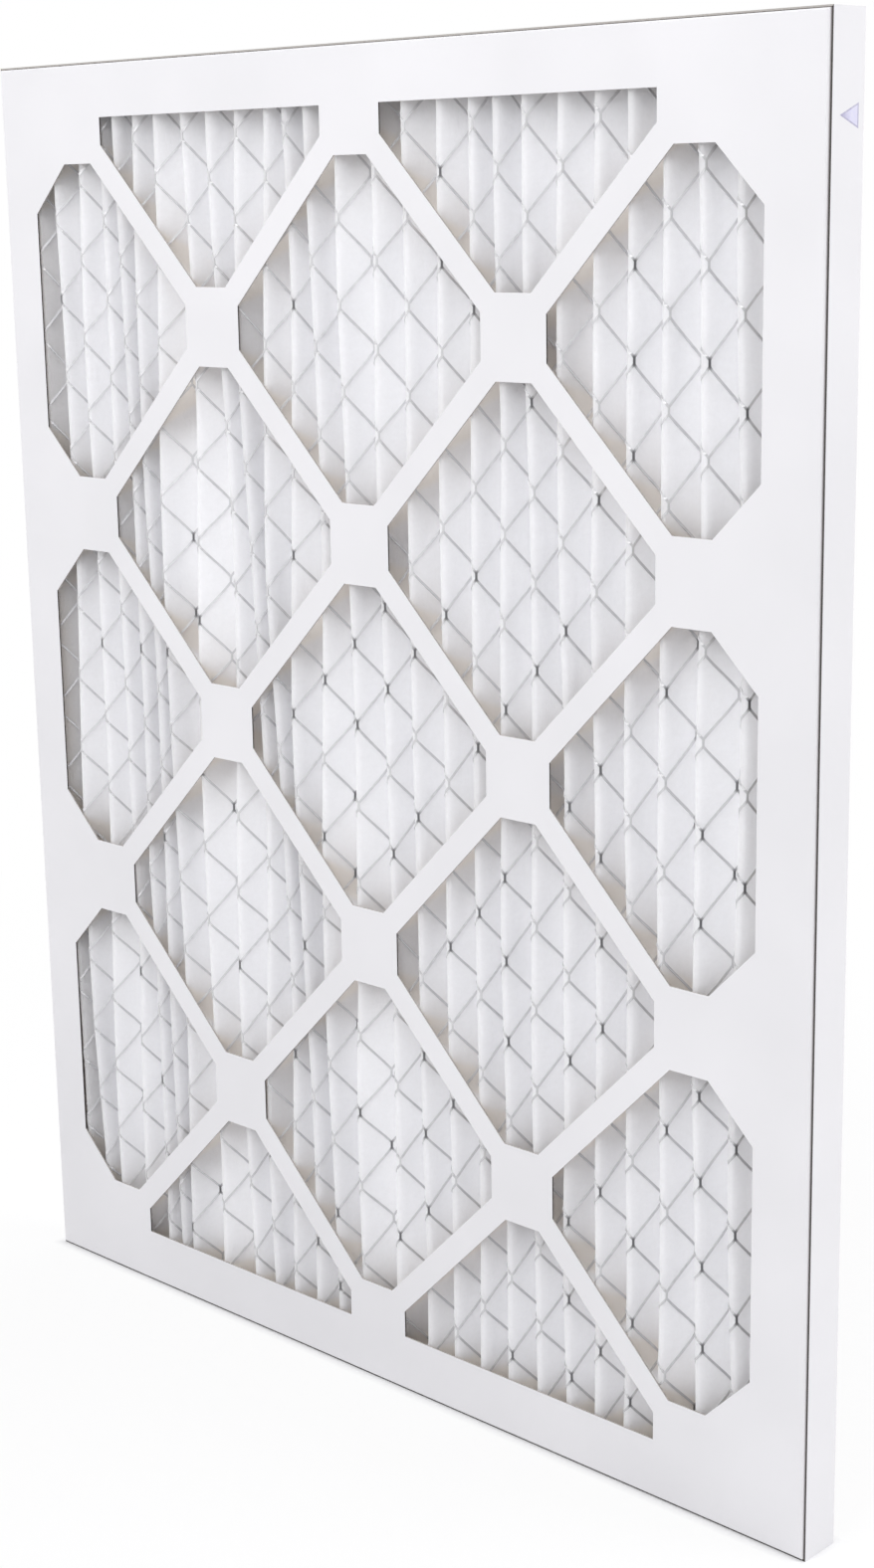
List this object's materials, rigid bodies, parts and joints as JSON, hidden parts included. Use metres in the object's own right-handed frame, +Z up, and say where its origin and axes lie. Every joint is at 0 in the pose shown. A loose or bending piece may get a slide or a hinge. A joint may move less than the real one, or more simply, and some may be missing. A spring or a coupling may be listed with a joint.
{
  "type": "pleated panel air filter",
  "caption": "Flat disposable air filter: pleated white media and a wire support mesh held between two die-cut paperboard trays with diamond windows.",
  "frame": {"origin": "middle of the bottom edge, at the centre of the panel's width and depth", "axes": "+Z up along the pleats, +X across the panel, -Y out of the front face, the one with the support mesh"},
  "size_m": [0.4952, 0.0222, 0.6223],
  "materials": {
    "board": "matt clay-coated white outside, brown kraft inside and at cut edges",
    "media": "matt fibrous nonwoven",
    "mesh": "dull galvanised wire"
  },
  "bodies": {
    "root": {"front_tray": "board", "rear_tray": "board", "pleated_media": "media", "support_mesh": "mesh"}
  },
  "joints": []
}
